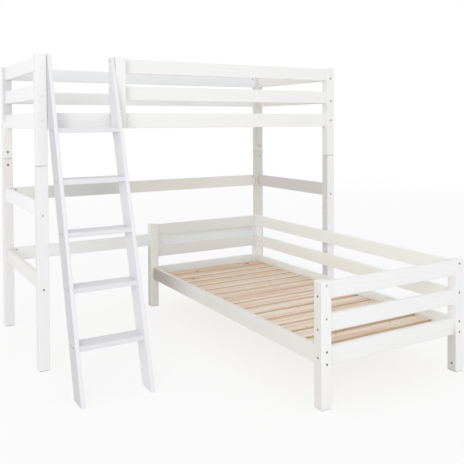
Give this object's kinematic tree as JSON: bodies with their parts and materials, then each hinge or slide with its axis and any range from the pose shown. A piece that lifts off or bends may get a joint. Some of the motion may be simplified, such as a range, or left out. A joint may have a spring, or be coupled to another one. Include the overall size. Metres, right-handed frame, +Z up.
{
  "type": "l shaped bunk bed",
  "caption": "Raised single bed on posts with guard rails, a leaning ladder and slats, over a matching floor-standing single bed that is turned a quarter turn below it.",
  "frame": {"origin": "on the floor, at the middle of the box round the whole object", "axes": "+X along the raised bed, from its ladder end to the end over the lower bed; +Y to the back of the raised bed, away from the ladder; +Z up"},
  "size_m": [2.09, 2.175, 1.76],
  "materials": {
    "painted_pine": "satin white paint on pine",
    "natural_pine": "planed, unfinished pine",
    "beech": "bare beech",
    "steel": "dull zinc"
  },
  "bodies": {
    "root": {"loft_post_front_left": "painted_pine", "loft_post_front_right": "painted_pine", "loft_post_back_left": "painted_pine", "loft_post_back_right": "painted_pine", "loft_front_side_rail": "painted_pine", "loft_back_side_rail": "painted_pine", "loft_front_mid_guard": "painted_pine", "loft_front_top_guard": "painted_pine", "loft_back_mid_guard": "painted_pine", "loft_back_top_guard": "painted_pine", "loft_entry_post": "painted_pine", "loft_left_end_low_rail": "painted_pine", "loft_left_end_mid_rail": "painted_pine", "loft_left_end_top_rail": "painted_pine", "loft_right_end_low_rail": "painted_pine", "loft_right_end_mid_rail": "painted_pine", "loft_right_end_top_rail": "painted_pine", "loft_slat_ledgers": "natural_pine", "loft_slats": "natural_pine", "leg_front_left": "painted_pine", "leg_front_right": "painted_pine", "leg_back_left": "painted_pine", "leg_back_right": "painted_pine", "leg_back_upper_rail": "painted_pine", "leg_back_lower_rail": "painted_pine", "leg_left_upper_rail": "painted_pine", "leg_left_lower_rail": "painted_pine", "leg_right_upper_rail": "painted_pine", "ladder_left_stringer": "painted_pine", "ladder_right_stringer": "painted_pine", "ladder_tread_1": "painted_pine", "ladder_tread_2": "painted_pine", "ladder_tread_3": "painted_pine", "ladder_tread_4": "painted_pine", "ladder_tread_5": "painted_pine", "low_post_far_left": "painted_pine", "low_post_far_right": "painted_pine", "low_post_near_left": "painted_pine", "low_post_near_right": "painted_pine", "low_left_side_rail": "painted_pine", "low_right_side_rail": "painted_pine", "low_right_mid_guard": "painted_pine", "low_right_top_guard": "painted_pine", "low_far_end_low_rail": "painted_pine", "low_far_end_mid_rail": "painted_pine", "low_far_end_top_rail": "painted_pine", "low_near_end_low_rail": "painted_pine", "low_near_end_mid_rail": "painted_pine", "low_near_end_top_rail": "painted_pine", "low_slat_ledgers": "natural_pine", "low_slats": "natural_pine", "rail_bolts": "steel", "rail_barrel_nuts": "steel", "rail_dowels": "beech", "stacking_studs": "steel", "stacking_barrel_nuts": "steel", "slat_screws": "steel", "tread_screws": "steel", "entry_post_screws": "steel", "ladder_top_screws": "steel"}
  },
  "joints": []
}
